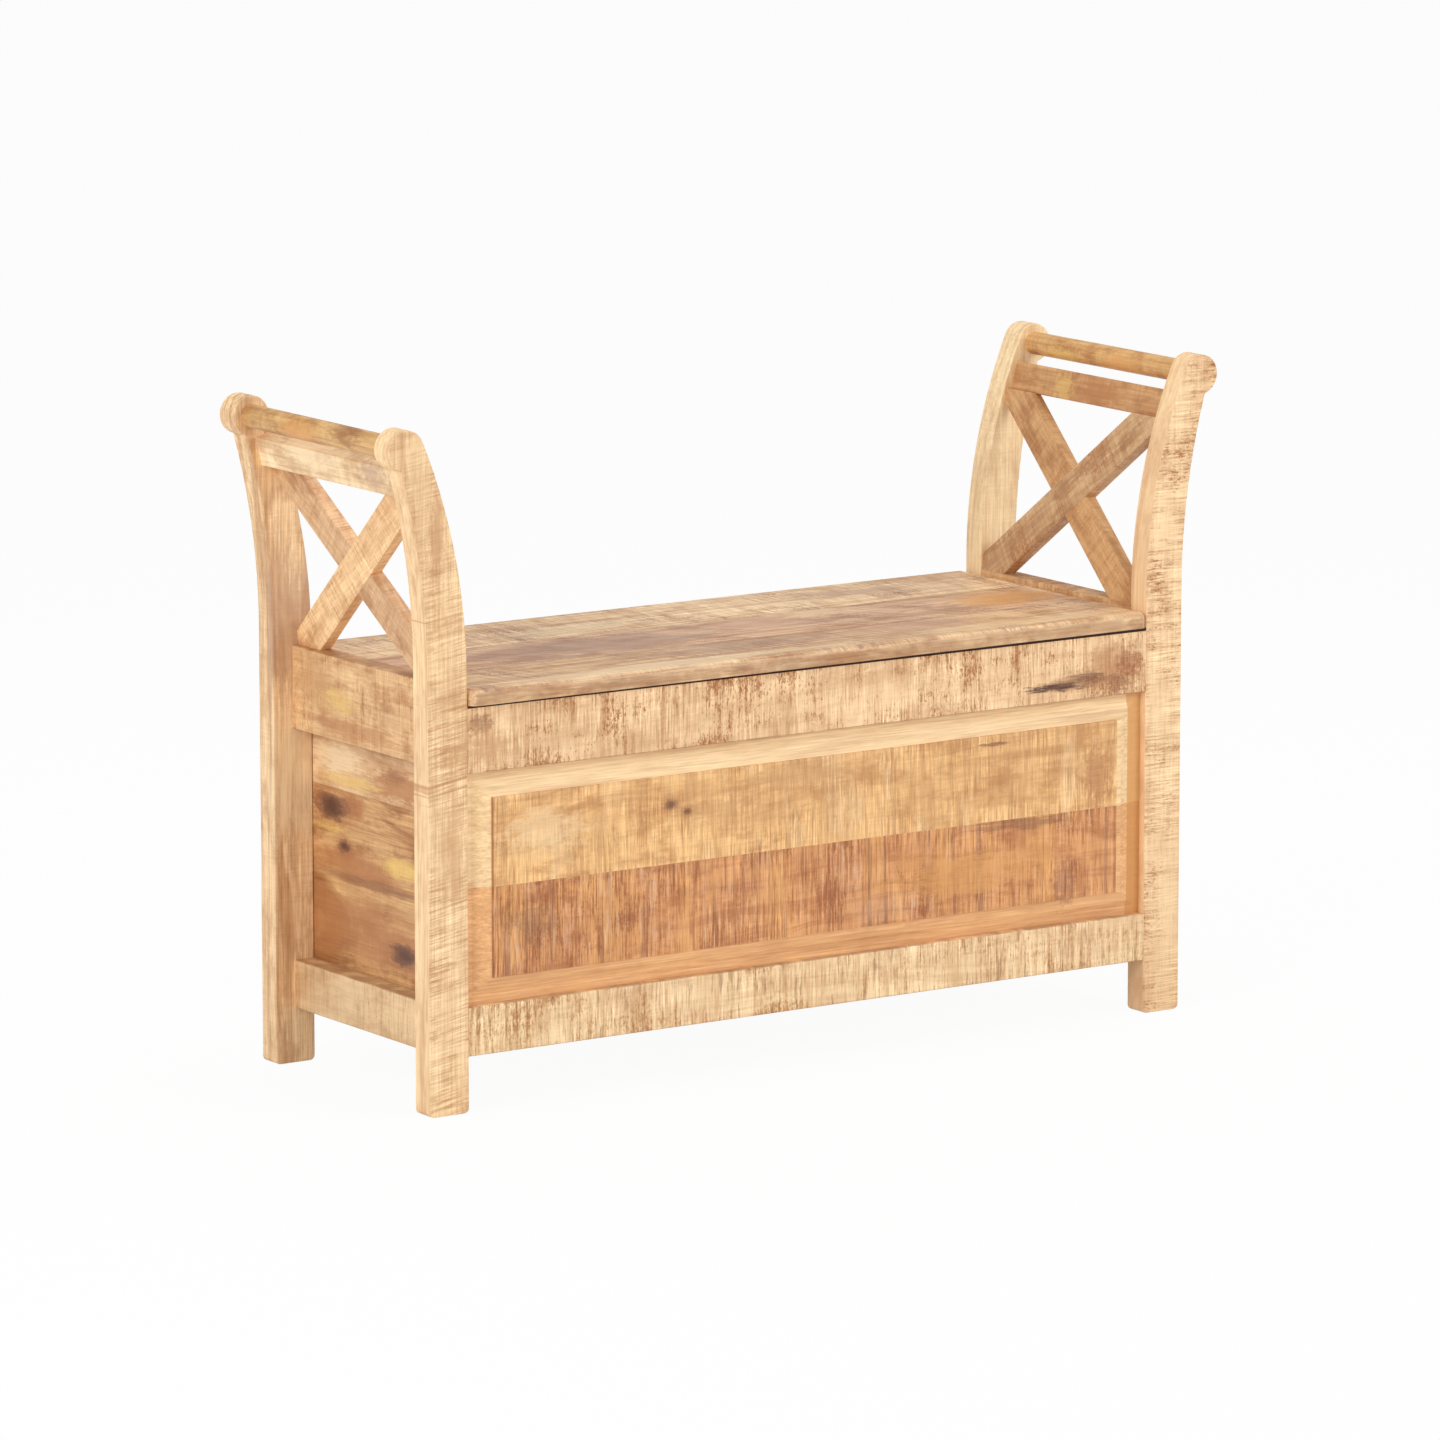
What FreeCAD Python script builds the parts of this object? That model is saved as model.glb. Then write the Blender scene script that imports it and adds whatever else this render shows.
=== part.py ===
import FreeCAD, Part
import Sketcher
import math
import os

# Settle bench: a long storage box between four scrolled posts, with a hinged seat.
# X runs along the bench, the front faces -Y and Z points up.
# The origin is on the floor, under the middle of the whole bench.
# The two ends are alike: the left one is the right one turned half round.

doc = FreeCAD.newDocument("settle_bench")

# Driving sizes in millimetres, angles in degrees
SIZES = [
    ("overall_length", 1100, "from scroll to scroll"),
    ("overall_height", 750, "floor to the top of the scrolls"),
    ("frame_depth", 350, "over the front and rear posts"),
    ("lid_nose", 6, "seat overhang in front of the posts"),
    ("foot_inset", 47, "scroll's outermost point to the foot's outer face"),
    ("post_wide", 50, "along X at the foot"),
    ("post_thick", 30, "along Y"),
    ("scroll_radius", 22.5, "round head of a post"),
    ("outer_lean_start", 488, "height where the outer edge starts to curve"),
    ("notch_turn", 74.9, "outer curve's end on the head, below its outermost point"),
    ("inner_lean_start", 478, "height where the inner edge starts to curve"),
    ("foot_round", 6, "rounded corners under a foot"),
    ("edge_round", 1.5, "eased long edges"),
    ("rail_thick", 22, "front and back rails"),
    ("rail_base", 62, "underside of the lower rails"),
    ("low_rail_high", 54, "height of the lower rails"),
    ("top_rail_high", 74, "height of the upper rails"),
    ("seat_base", 446, "top of the upper rails, where the seat rests"),
    ("back_inset", 12, "back rails behind the rear posts' outer faces"),
    ("side_rail_thick", 25, "side rails and aprons"),
    ("apron_high", 93, "height of the side aprons"),
    ("apron_rise", 23, "side apron above the seat's bearing height"),
    ("tenon_thick", 8, "tenons of the front and back rails"),
    ("tenon_high", 18, "height of a rail's tenon"),
    ("tenon_edge", 6, "tenon to the rail's edge and to its outer face"),
    ("tenon_long", 25, "tenons of the front and back rails"),
    ("side_tenon_long", 12, "tenons of the side rails"),
    ("apron_tenon_high", 36, "tenon of a side apron"),
    ("groove_deep", 8, "panel grooves"),
    ("groove_gap", 1, "panel edge to the bottom of its groove"),
    ("bevel_setback", 10, "panel's margin behind the front plane"),
    ("field_setback", 1, "raised field behind the front plane"),
    ("tongue_thick", 7, "edge of the front panel in its groove"),
    ("field_side", 33, "field to the posts"),
    ("field_end", 29, "field to the rails"),
    ("field_step", 2, "square edge of the field above the bevel"),
    ("panel_border", 10, "flat margin between the bevel and the frame"),
    ("front_joint", 245, "height of the front panel's glue line"),
    ("back_panel_thick", 8, "flat back panel"),
    ("back_joint", 250, "height of the back panel's glue line"),
    ("side_panel_thick", 15, "end walls of the box"),
    ("side_joint", 314, "height of the end walls' glue line"),
    ("floor_thick", 12, "boards of the box floor"),
    ("bearer_wide", 24, "bearers under the floor"),
    ("bearer_high", 20, "bearers under the floor"),
    ("housing_deep", 5, "bearer ends let into the lower rails"),
    ("board_gap", 1, "between the floor boards and round them"),
    ("lid_thick", 18, "seat boards"),
    ("lid_end_gap", 2, "seat to the posts at each end"),
    ("lid_back_gap", 1, "seat's rear edge inside the rear posts' plane"),
    ("nose_round", 8, "rounded front edge of the seat"),
    ("corner_round", 10, "seat's front corners in plan"),
    ("rear_stave", 129, "width of the seat's rear board"),
    ("front_stave", 108, "width of the seat's front board"),
    ("batten_wide", 45, "battens under the seat"),
    ("batten_thick", 18, "battens under the seat"),
    ("batten_long", 250, "battens under the seat"),
    ("batten_inset", 151, "seat's end to the middle of a batten"),
    ("hinge_inset", 261, "seat's end to the middle of a hinge"),
    ("hinge_long", 64, "butt hinges"),
    ("leaf_wide", 20, "hinge leaf past the pin"),
    ("leaf_thick", 1.2, "hinge leaf"),
    ("knuckle_dia", 5.5, "hinge barrel"),
    ("pin_dia", 2.5, "hinge pin"),
    ("pin_play", 0.05, "pin inside the seat leaf's knuckle"),
    ("knuckle_gap", 0.3, "between two knuckles and round the barrel"),
    ("screw_dia", 3, "shanks of the wood screws"),
    ("head_dia", 6, "countersunk heads"),
    ("hinge_screw_long", 14, "screws of the hinges"),
    ("wood_screw_long", 28, "screws of the battens, floor and end walls"),
    ("dowel_dia", 26, "round armrest rail"),
    ("dowel_tenon_dia", 16, "turned end of the armrest rail"),
    ("dowel_tenon_long", 18, "turned end of the armrest rail"),
    ("cross_thick", 20, "cross rail under the armrest"),
    ("cross_high", 33, "cross rail under the armrest"),
    ("cross_gap", 8, "slot between the armrest and the cross rail"),
    ("cross_tenon_thick", 10, "tenon of the cross rail"),
    ("cross_tenon_high", 20, "tenon of the cross rail"),
    ("cross_tenon_long", 14, "tenon of the cross rail"),
    ("brace_thick", 15, "bars of the crossed brace"),
    ("brace_wide", 41, "bars of the crossed brace"),
    ("brace_lean", 9.1, "lean of the crossed brace"),
    ("brace_slope", 38.5, "rise of a bar from the apron"),
    ("brace_rise", 4, "crossing above the middle of its opening"),
    ("brace_inset", 1, "brace foot behind the apron's inner face"),
]

sheet = doc.addObject("Spreadsheet::Sheet", "sizes")
for row, (alias, size, meaning) in enumerate(SIZES, start=1):
    sheet.set("A%d" % row, meaning)
    sheet.set("B%d" % row, str(size))
    sheet.setAlias("B%d" % row, alias)
doc.recompute()

NAMES = sorted((alias for alias, size, meaning in SIZES), key=len, reverse=True)
NODES = []


def formula(text):
    """Write a formula of plain size names as one that refers to the sheet."""
    words = []
    word = ""
    for letter in text + " ":
        if letter.isalnum() or letter in "_.":
            word += letter
            continue
        words.append("sizes." + word if word in NAMES else word)
        words.append(letter)
        word = ""
    return "".join(words).strip()


def number(text):
    """Value of a formula at the sheet's present sizes."""
    return float(sheet.evalExpression(formula(text)))


def bind(thing, **sizes):
    for name, text in sizes.items():
        thing.setExpression(name, formula(text))


def place(thing, at, turn=None):
    """Bind a thing's place, turned first by a fixed rotation."""
    if turn is not None:
        thing.Placement = FreeCAD.Placement(FreeCAD.Vector(0, 0, 0), turn)
    for axis, text in zip("xyz", at):
        thing.setExpression("Placement.Base." + axis, formula(text))
    return thing


def box(name, size, at, turn=None):
    thing = doc.addObject("Part::Box", name)
    bind(thing, Length=size[0], Width=size[1], Height=size[2])
    return place(thing, at, turn)


def rod(name, radius, long, at, turn=None):
    thing = doc.addObject("Part::Cylinder", name)
    bind(thing, Radius=radius, Height=long)
    return place(thing, at, turn)


def fuse(name, parts):
    thing = doc.addObject("Part::MultiFuse", name)
    thing.Shapes = parts
    return thing


def cut(name, base, tools):
    thing = doc.addObject("Part::Cut", name)
    thing.Base = base
    thing.Tool = tools[0] if len(tools) == 1 else fuse(name + "_tools", tools)
    return thing


def common(name, base, tool):
    thing = doc.addObject("Part::Common", name)
    thing.Base = base
    thing.Tool = tool
    return thing


def round_edges(name, base, radius, wanted):
    """Round the edges of a solid that a test picks."""
    doc.recompute()
    thing = doc.addObject("Part::Fillet", name)
    thing.Base = base
    size = number(radius)
    picked = [i for i, edge in enumerate(base.Shape.Edges, start=1) if wanted(edge)]
    thing.Edges = [(i, size, size) for i in picked]
    return thing


def runs_along(axis):
    """Test for straight edges parallel to an axis."""
    def test(edge):
        if len(edge.Vertexes) != 2 or not isinstance(edge.Curve, Part.Line):
            return False
        return abs(abs(edge.tangentAt(edge.FirstParameter).dot(axis)) - 1) < 1e-6
    return test


def node(name, thing, at=None, turn=None):
    """Name a finished piece and put it in the list of nodes."""
    thing.Label = name
    if at is not None:
        place(thing, at, turn)
    NODES.append(thing)
    return thing


X_AXIS = FreeCAD.Vector(1, 0, 0)
Y_AXIS = FreeCAD.Vector(0, 1, 0)
Z_AXIS = FreeCAD.Vector(0, 0, 1)
QUARTER = FreeCAD.Rotation(Z_AXIS, 90)
BACK_QUARTER = FreeCAD.Rotation(Z_AXIS, -90)
HALF = FreeCAD.Rotation(Z_AXIS, 180)
STRAIGHT = FreeCAD.Rotation(Z_AXIS, 0)
ALONG_X = FreeCAD.Rotation(Y_AXIS, 90)
ALONG_Y = FreeCAD.Rotation(X_AXIS, -90)

# Planes that the pieces share
OUTER_X = "(overall_length / 2 - foot_inset)"
INNER_X = "(overall_length / 2 - foot_inset - post_wide)"
MID_Y = "(lid_nose / 2)"
FRONT_Y = "(lid_nose / 2 - frame_depth / 2)"
REAR_Y = "(lid_nose / 2 + frame_depth / 2)"
BACK_RAIL_Y = "(lid_nose / 2 + frame_depth / 2 - back_inset)"
HALF_DEPTH = "(frame_depth / 2)"
INNER_DEPTH = "(frame_depth / 2 - post_thick)"
TOP_RAIL_BASE = "(seat_base - top_rail_high)"
APRON_TOP = "(seat_base + apron_rise)"
APRON_BASE = "(seat_base + apron_rise - apron_high)"
RAIL_TOP = "(rail_base + low_rail_high)"
SCROLL_X = "(overall_length / 2 - scroll_radius)"
SCROLL_Z = "(overall_height - scroll_radius)"
CROSS_TOP = "(overall_height - scroll_radius - dowel_dia / 2 - cross_gap)"
CROSS_MID = "(overall_height - scroll_radius - dowel_dia / 2 - cross_gap - cross_high / 2)"
FLOOR_TOP = "(rail_base + bearer_high + floor_thick)"

# Middle line of a post at the cross rail's height, and its lean there
NOTCH_X = "(%s + scroll_radius * cos(notch_turn))" % SCROLL_X
NOTCH_Z = "(%s - scroll_radius * sin(notch_turn))" % SCROLL_Z
notch_side = "(%s - %s)" % (NOTCH_X, OUTER_X)
notch_rise = "(%s - outer_lean_start)" % NOTCH_Z
OUTER_RADIUS = "((%s ^ 2 + %s ^ 2) / (2 * %s))" % (notch_side, notch_rise, notch_side)
outer_arc = "sqrt(%s ^ 2 - (%s - outer_lean_start) ^ 2)" % (OUTER_RADIUS, CROSS_MID)
inner_drop = "(%s - inner_lean_start)" % SCROLL_Z
inner_side = "(%s - %s)" % (SCROLL_X, INNER_X)
INNER_RADIUS = "((%s ^ 2 + %s ^ 2 - scroll_radius ^ 2) / (2 * (%s - scroll_radius)))" % (
    inner_side, inner_drop, inner_side)
inner_arc = "sqrt(%s ^ 2 - (%s - inner_lean_start) ^ 2)" % (INNER_RADIUS, CROSS_MID)
CROSS_X = "((%s + %s - %s + %s + %s - %s) / 2)" % (
    OUTER_X, OUTER_RADIUS, outer_arc, INNER_X, INNER_RADIUS, inner_arc)
CROSS_LEAN = "(atan((%s - outer_lean_start) / %s))" % (CROSS_MID, outer_arc)


# Posts

def end_place(thing, name, right):
    """Put a piece of a bench end at the right end, or turned round at the left one."""
    return node(name, thing, ("0", MID_Y, "0"), STRAIGHT if right else HALF)


def post_profile(body, name):
    """Side view of a post: straight below, leaning out above, with a round head."""
    sketch = body.newObject("Sketcher::SketchObject", name + "_profile")
    plane = [f for f in body.Origin.OriginFeatures if f.Role == "XZ_Plane"][0]
    sketch.AttachmentSupport = (plane, [""])
    sketch.MapMode = "FlatFace"
    inner = number(INNER_X)
    outer = number(OUTER_X)
    head_x = number(SCROLL_X)
    head_z = number(SCROLL_Z)
    head = number("scroll_radius")
    out_z = number("outer_lean_start")
    in_z = number("inner_lean_start")
    out_r = number(OUTER_RADIUS)
    in_r = number(INNER_RADIUS)
    notch = math.radians(number("notch_turn"))
    out_turn = math.asin((head_z - head * math.sin(notch) - out_z) / out_r)
    join_turn = math.atan2(head_z - in_z, in_r - (head_x - inner))
    up = FreeCAD.Vector(0, 0, 1)

    def point(x, y):
        return FreeCAD.Vector(x, y, 0)

    def line(x0, y0, x1, y1):
        return sketch.addGeometry(Part.LineSegment(point(x0, y0), point(x1, y1)), False)

    def arc(x, y, radius, start, end):
        circle = Part.Circle(point(x, y), up, radius)
        return sketch.addGeometry(Part.ArcOfCircle(circle, start, end), False)

    base = line(inner, 0, outer, 0)
    out_line = line(outer, 0, outer, out_z)
    out_arc = arc(outer + out_r, out_z, out_r, math.pi - out_turn, math.pi)
    scroll = arc(head_x, head_z, head, -notch, math.pi - join_turn)
    in_arc = arc(inner + in_r, in_z, in_r, math.pi - join_turn, math.pi)
    in_line = line(inner, in_z, inner, 0)

    rules = [
        ("Coincident", base, 2, out_line, 1),
        ("Tangent", out_line, 2, out_arc, 2),
        ("Coincident", out_arc, 1, scroll, 1),
        ("Tangent", scroll, 2, in_arc, 1),
        ("Tangent", in_arc, 2, in_line, 1),
        ("Coincident", in_line, 2, base, 1),
        ("Horizontal", base),
        ("Vertical", out_line),
        ("Vertical", in_line),
        ("PointOnObject", base, 1, -1),
    ]
    for rule in rules:
        sketch.addConstraint(Sketcher.Constraint(*rule))
    sizes = [
        ("inner_face", ("DistanceX", -1, 1, in_line, 2, inner), INNER_X),
        ("width", ("DistanceX", base, 1, base, 2, outer - inner), "post_wide"),
        ("outer_start", ("DistanceY", out_line, 1, out_line, 2, out_z), "outer_lean_start"),
        ("inner_start", ("DistanceY", in_line, 2, in_line, 1, in_z), "inner_lean_start"),
        ("outer_bend", ("Radius", out_arc, out_r), OUTER_RADIUS),
        ("head_round", ("Radius", scroll, head), "scroll_radius"),
        ("head_across", ("DistanceX", -1, 1, scroll, 3, head_x), SCROLL_X),
        ("head_up", ("DistanceY", -1, 1, scroll, 3, head_z), SCROLL_Z),
    ]
    for title, rule, text in sizes:
        index = sketch.addConstraint(Sketcher.Constraint(*rule))
        sketch.renameConstraint(index, title)
        sketch.setExpression("Constraints." + title, formula(text))
    return sketch


def make_post(name, right, front):
    """One post with its mortises, drawn for the right end."""
    body = doc.addObject("PartDesign::Body", name + "_body")
    sketch = post_profile(body, name)
    pad = body.newObject("PartDesign::Pad", name + "_pad")
    pad.Profile = sketch
    pad.Reversed = True
    bind(pad, Length="post_thick")
    low = right == front
    start = "-%s" % HALF_DEPTH if low else INNER_DEPTH
    bind(sketch, **{"AttachmentOffset.Base.z": "-(%s)" % start})
    foot = round_edges(name + "_foot", body, "foot_round", foot_corner)
    eased = round_edges(name + "_eased", foot, "edge_round", post_arris)

    def across(near, far):
        """Start of a slot between two distances from the middle, on this post's side."""
        return "-(%s)" % far if low else near

    def slot(title, x, long, near, far, base, high):
        size = (long, "(%s) - (%s)" % (far, near), high)
        return box("%s_%s" % (name, title), size, (x, across(near, far), base))

    inset = "0" if front else "back_inset"
    cheek = "(frame_depth / 2 - %s - tenon_edge)" % inset
    thin = "(%s - tenon_thick)" % cheek
    upper = "(seat_base - tenon_edge - tenon_high)"
    lower = "(%s - tenon_edge - tenon_high)" % RAIL_TOP
    deep = "(%s + side_tenon_long)" % INNER_DEPTH
    tenon_x = "(%s + (side_rail_thick - tenon_thick) / 2)" % INNER_X
    if front:
        groove_far = "(frame_depth / 2 - bevel_setback)"
        groove_near = "(%s - tongue_thick)" % groove_far
    else:
        groove_far = "(frame_depth / 2 - back_inset - tenon_edge)"
        groove_near = "(%s - back_panel_thick)" % groove_far
    tools = [
        slot("top_mortise", INNER_X, "tenon_long", thin, cheek, upper, "tenon_high"),
        slot("low_mortise", INNER_X, "tenon_long", thin, cheek, lower, "tenon_high"),
        slot("groove", INNER_X, "groove_deep", groove_near, groove_far,
             "%s - groove_deep" % RAIL_TOP,
             "%s - %s + 2 * groove_deep" % (TOP_RAIL_BASE, RAIL_TOP)),
        slot("side_mortise", tenon_x, "tenon_thick", INNER_DEPTH, deep,
             "rail_base + tenon_edge", "tenon_high"),
        slot("apron_mortise", tenon_x, "tenon_thick", INNER_DEPTH, deep,
             "%s + tenon_edge" % APRON_BASE, "apron_tenon_high"),
    ]
    cross_far = "(%s + cross_tenon_long)" % INNER_DEPTH
    tools.append(leaning_box(
        name + "_cross_mortise", "cross_tenon_thick", "cross_tenon_high", "cross_tenon_high / 2",
        across(INNER_DEPTH, cross_far), "cross_tenon_long"))
    dowel_far = "(%s + dowel_tenon_long)" % INNER_DEPTH
    tools.append(rod(name + "_dowel_hole", "dowel_tenon_dia / 2", "dowel_tenon_long",
                     (SCROLL_X, across(INNER_DEPTH, dowel_far), SCROLL_Z), ALONG_Y))
    return end_place(cut(name + "_cut", eased, tools), name, right)


def foot_corner(edge):
    """The two edges across the thickness under a foot."""
    return runs_along(Y_AXIS)(edge) and edge.BoundBox.ZMax < 1e-6


def post_arris(edge):
    """The profile's edges on both faces of a post."""
    if edge.BoundBox.YMax - edge.BoundBox.YMin > 1e-6:
        return False
    return edge.BoundBox.ZMax > 1e-6


def leaning_box(name, thick, high, below, start, long):
    """Box about the cross rail's middle line, leaning with the posts.

    Its base lies a distance below that line.
    """
    turn = FreeCAD.Rotation(Y_AXIS, number(CROSS_LEAN))
    across = "(%s) / 2 * cos(%s) + (%s) * sin(%s)" % (thick, CROSS_LEAN, below, CROSS_LEAN)
    down = "(%s) * cos(%s) - (%s) / 2 * sin(%s)" % (below, CROSS_LEAN, thick, CROSS_LEAN)
    at = ("%s - (%s)" % (CROSS_X, across), start, "%s - (%s)" % (CROSS_MID, down))
    return box(name, (thick, long, high), at, turn)


for right in (True, False):
    for front in (True, False):
        end = "right" if right else "left"
        make_post("post_%s_%s" % ("front" if front else "rear", end), right, front)


# Rails

def rail(name, long, thick, base_high, tenons, grooves=(), extra=()):
    """Board along local X, outer face at y = 0, with a tenon at each end."""
    board = box(name + "_board", (long, thick, base_high), ("-(%s) / 2" % long, "0", "0"))
    eased = round_edges(name + "_eased", board, "edge_round", runs_along(X_AXIS))
    reach, start_y, thick_y, start_z, high = tenons
    tenon = box(name + "_tenon", ("%s + 2 * %s" % (long, reach), thick_y, high),
                ("-(%s) / 2 - %s" % (long, reach), start_y, start_z))
    whole = fuse(name + "_whole", [eased, tenon])
    tools = list(extra)
    for count, (start, wide, level) in enumerate(grooves):
        tools.append(box("%s_groove_%d" % (name, count),
                         ("%s + 2 * %s" % (long, reach), wide, "groove_deep"),
                         ("-(%s) / 2 - %s" % (long, reach), start, level)))
    return cut(name + "_cut", whole, tools) if tools else whole


SPAN = "(2 * %s)" % INNER_X
DEPTH_SPAN = "(frame_depth - 2 * post_thick)"
FRONT_GROOVE = ("bevel_setback", "tongue_thick")
BACK_GROOVE = ("tenon_edge", "back_panel_thick")


def screw_profile(head, long):
    """Half section of a countersunk screw, head at z = 0, point below."""
    radius = "screw_dia / 2"
    cone = doc.addObject("Part::Cone", head)
    bind(cone, Radius1=radius, Radius2="head_dia / 2", Height="(head_dia - screw_dia) / 2")
    place(cone, ("0", "0", "-(head_dia - screw_dia) / 2"))
    shank = rod(head + "_shank", radius, long, ("0", "0", "-(%s)" % long))
    return fuse(head + "_screw", [cone, shank])


hinge_screw = screw_profile("hinge_head", "hinge_screw_long")
wood_screw = screw_profile("wood_head", "wood_screw_long")
doc.recompute()


def screws(name, kind, spots):
    """Group of like screws. Each spot is its head's place and a rotation."""
    group = doc.addObject("Part::Feature", name)
    solids = []
    for at, turn in spots:
        middle = FreeCAD.Vector(*[number(text) for text in at])
        solid = kind.Shape.copy()
        solid.Placement = FreeCAD.Placement(middle, turn)
        solids.append(solid)
    group.Shape = Part.makeCompound(solids)
    return node(name, group)


# Ways that a screw's point faces
POINT_DOWN = STRAIGHT
POINT_UP = FreeCAD.Rotation(X_AXIS, 180)
POINT_TO_FRONT = FreeCAD.Rotation(X_AXIS, -90)
POINT_RIGHT = FreeCAD.Rotation(Y_AXIS, -90)
POINT_LEFT = FreeCAD.Rotation(Y_AXIS, 90)

# Hinge pins lie just behind the back rail's face, under the seat
PIN_Y = "(%s - leaf_thick + knuckle_dia / 2)" % BACK_RAIL_Y
PIN_Z = "(seat_base + leaf_thick - knuckle_dia / 2)"
HINGE_X = "(%s - lid_end_gap - hinge_inset)" % INNER_X
HINGES = (("left", "-" + HINGE_X), ("right", HINGE_X))

frame_spots = []
lid_spots = []
for side, middle in HINGES:
    for count in (-1, 0, 1):
        x = "%s + %d * hinge_long / 3" % (middle, count)
        out = "2 * leaf_wide / 3" if count else "leaf_wide / 2"
        frame_spots.append(((x, BACK_RAIL_Y, "%s - %s" % (PIN_Z, out)), POINT_TO_FRONT))
        lid_spots.append(((x, "%s - %s" % (PIN_Y, out), "seat_base"), POINT_UP))
hinge_frame_screws = screws("hinge_frame_screws", hinge_screw, frame_spots)
hinge_lid_screws = screws("hinge_lid_screws", hinge_screw, lid_spots)

# Floor bearers: one at each end wall and one in the middle
BEARER_X = (
    ("left", "-(%s) + side_panel_thick + bearer_wide / 2" % INNER_X),
    ("middle", "0"),
    ("right", "%s - side_panel_thick - bearer_wide / 2" % INNER_X),
)
BOX_FRONT = "(%s + rail_thick)" % FRONT_Y
BOX_BACK = "(%s - rail_thick)" % BACK_RAIL_Y
BOX_DEPTH = "(frame_depth - back_inset - 2 * rail_thick)"


def housings(name):
    """Sockets for the bearers in a lower rail's inner face, in the rail's own frame."""
    return [box("%s_housing_%s" % (name, side), ("bearer_wide", "housing_deep", "bearer_high"),
                ("%s - bearer_wide / 2" % x, "rail_thick - housing_deep", "0"))
            for side, x in BEARER_X]


def barrel_room(name, middle):
    """Space round a hinge's barrel."""
    return rod(name, "knuckle_dia / 2 + knuckle_gap", "hinge_long",
               ("%s - hinge_long / 2" % middle, PIN_Y, PIN_Z), ALONG_X)


def long_rail(name, front, top):
    """Rail between two front posts or two rear posts."""
    high = "top_rail_high" if top else "low_rail_high"
    groove = FRONT_GROOVE if front else BACK_GROOVE
    level = "0" if top else "low_rail_high - groove_deep"
    tenon = ("tenon_long", "tenon_edge", "tenon_thick",
             "%s - tenon_edge - tenon_high" % high, "tenon_high")
    extra = [] if top else housings(name)
    piece = rail(name, SPAN, "rail_thick", high, tenon, [groove + (level,)], extra)
    base = TOP_RAIL_BASE if top else "rail_base"
    at = ("0", FRONT_Y if front else BACK_RAIL_Y, base)
    turn = STRAIGHT if front else HALF
    if front or not top:
        return node(name, piece, at, turn)
    place(piece, at, turn)
    recess = [box("frame_recess_" + side,
                  ("hinge_long", "leaf_thick", "leaf_wide + seat_base - %s" % PIN_Z),
                  ("%s - hinge_long / 2" % middle, "%s - leaf_thick" % BACK_RAIL_Y,
                   "%s - leaf_wide" % PIN_Z))
              for side, middle in HINGES]
    recess += [barrel_room("frame_barrel_" + side, middle) for side, middle in HINGES]
    return node(name, cut(name + "_recessed", piece, recess + [hinge_frame_screws]))


long_rail("front_upper_rail", True, True)
long_rail("back_upper_rail", False, True)

# Screws through the end walls into the side rails and aprons
wall_spots = []
for sign, turn in (("", POINT_RIGHT), ("-", POINT_LEFT)):
    x = "%s(%s - side_panel_thick)" % (sign, INNER_X)
    for count in (-1, 0, 1):
        y = "%s + %d * %s / 3" % (MID_Y, count, DEPTH_SPAN)
        wall_spots.append(((x, y, "(%s + %s) / 2" % (FLOOR_TOP, RAIL_TOP)), turn))
        wall_spots.append(((x, y, "(%s + seat_base) / 2" % APRON_BASE), turn))
end_wall_screws = screws("end_wall_screws", wood_screw, wall_spots)


def side_rail(name, right, top):
    """Rail or apron between the front and rear post of one end."""
    high = "apron_high" if top else "low_rail_high"
    tenon_y = "(side_rail_thick - tenon_thick) / 2"
    tenon = ("side_tenon_long", tenon_y, "tenon_thick", "tenon_edge",
             "apron_tenon_high" if top else "tenon_high")
    piece = rail(name, DEPTH_SPAN, "side_rail_thick", high, tenon)
    sign = "" if right else "-"
    at = ("%s(%s + side_rail_thick)" % (sign, INNER_X), MID_Y, APRON_BASE if top else "rail_base")
    place(piece, at, QUARTER if right else BACK_QUARTER)
    return node(name, cut(name + "_drilled", piece, [end_wall_screws]))


for right, end in ((True, "right"), (False, "left")):
    side_rail("side_rail_" + end, right, False)
    side_rail("side_apron_" + end, right, True)


# Floor of the box: bearers, boards and their screws

floor_spots = []
BOARD_PITCH = "(%s / 3)" % BOX_DEPTH
for side, x in BEARER_X:
    for count in range(3):
        y = "%s + (%d + 1 / 2) * %s" % (BOX_FRONT, count, BOARD_PITCH)
        floor_spots.append(((x, y, FLOOR_TOP), POINT_DOWN))
floor_screws = screws("floor_screws", wood_screw, floor_spots)

for side, x in BEARER_X:
    bar = box("bearer_%s_bar" % side,
              ("bearer_wide", "%s + 2 * housing_deep" % BOX_DEPTH, "bearer_high"),
              ("%s - bearer_wide / 2" % x, "%s - housing_deep" % BOX_FRONT, "rail_base"))
    node("floor_bearer_" + side, cut("bearer_%s_cut" % side, bar, [floor_screws]))

for count, title in enumerate(("front", "middle", "back")):
    board = box("floor_%s_bar" % title,
                ("%s - 2 * side_panel_thick - 2 * board_gap" % SPAN,
                 "%s - 2 * board_gap" % BOARD_PITCH, "floor_thick"),
                ("-(%s) + side_panel_thick + board_gap" % INNER_X,
                 "%s + %d * %s + board_gap" % (BOX_FRONT, count, BOARD_PITCH),
                 "rail_base + bearer_high"))
    node("floor_board_" + title, cut("floor_%s_cut" % title, board, [floor_screws]))

long_rail("front_lower_rail", True, False)
long_rail("back_lower_rail", False, False)


# End walls of the box, two boards each, flush with the posts' inner faces.
# They reach the rear posts, and are notched round the back rails.

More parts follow.
